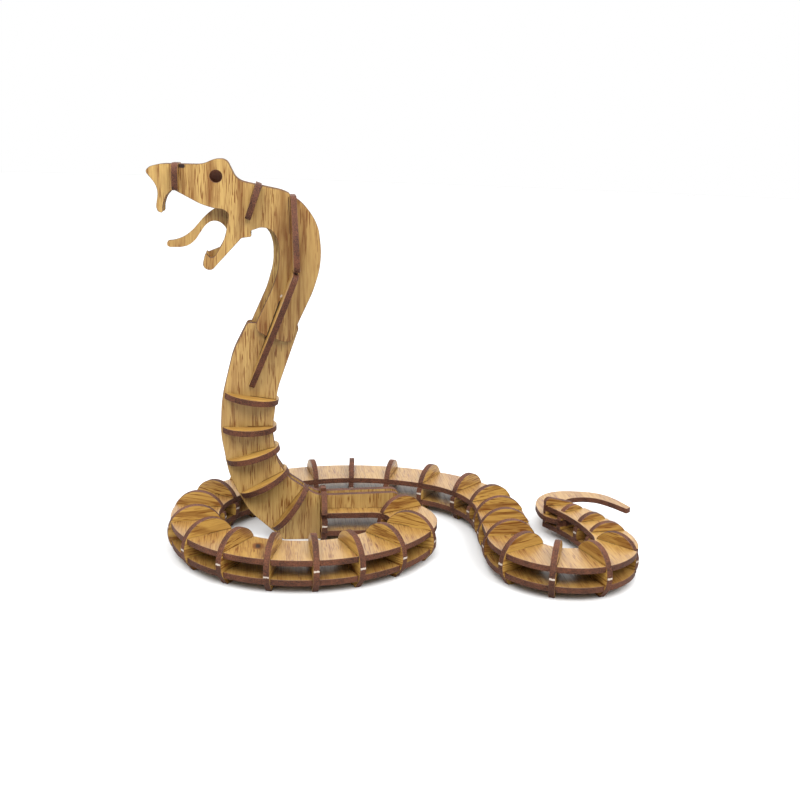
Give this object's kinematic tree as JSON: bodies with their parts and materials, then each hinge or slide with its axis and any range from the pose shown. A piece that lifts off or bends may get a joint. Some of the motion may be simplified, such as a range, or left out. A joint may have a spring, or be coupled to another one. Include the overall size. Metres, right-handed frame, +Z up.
{
  "type": "wooden snake puzzle",
  "caption": "Rearing cobra puzzle of slotted flat boards: ribbed coil, upright neck and head with tongue, spread hood, curled tail.",
  "frame": {"origin": "on the table under the centre of the toy's bounding box", "axes": "+Z up; +X from the snout towards the tail along the longest side; +Y away from the viewer, square to the neck plates"},
  "size_m": [0.265, 0.1646, 0.1995],
  "materials": {
    "deck_board": "natural wood veneer face, grain across the body, dark toasted cut edge",
    "rib_board": "natural wood veneer face, darker level grain, dark toasted cut edge",
    "neck_board": "natural wood veneer face, upright grain, dark toasted cut edge",
    "head_board": "natural wood veneer face, upright grain, dark toasted cut edge",
    "cross_board": "natural wood veneer face, dark toasted cut edge"
  },
  "bodies": {
    "root": {"cheek_rib": "cross_board", "head_plate_left": "head_board", "head_plate_right": "head_board", "hood_lower": "cross_board", "hood_upper": "cross_board", "lower_deck": "deck_board", "neck_base_rib": "rib_board", "neck_plate_left": "neck_board", "neck_plate_right": "neck_board", "neck_ring_1": "cross_board", "neck_ring_2": "cross_board", "neck_ring_3": "cross_board", "neck_ring_4": "cross_board", "neck_ring_5": "cross_board", "rib_01": "rib_board", "rib_02": "rib_board", "rib_03": "rib_board", "rib_04": "rib_board", "rib_05": "rib_board", "rib_06": "rib_board", "rib_07": "rib_board", "rib_08": "rib_board", "rib_09": "rib_board", "rib_10": "rib_board", "rib_11": "rib_board", "rib_12": "rib_board", "rib_13": "rib_board", "rib_14": "rib_board", "rib_15": "rib_board", "rib_16": "rib_board", "rib_17": "rib_board", "rib_18": "rib_board", "rib_19": "rib_board", "rib_20": "rib_board", "rib_21": "rib_board", "rib_22": "rib_board", "rib_23": "rib_board", "rib_24": "rib_board", "rib_25": "rib_board", "rib_26": "rib_board", "rib_27": "rib_board", "rib_28": "rib_board", "rib_29": "rib_board", "snout_rib": "cross_board", "tail_root_rib": "rib_board", "tail_tip": "deck_board", "tongue_core": "head_board", "upper_deck": "deck_board"}
  },
  "joints": []
}
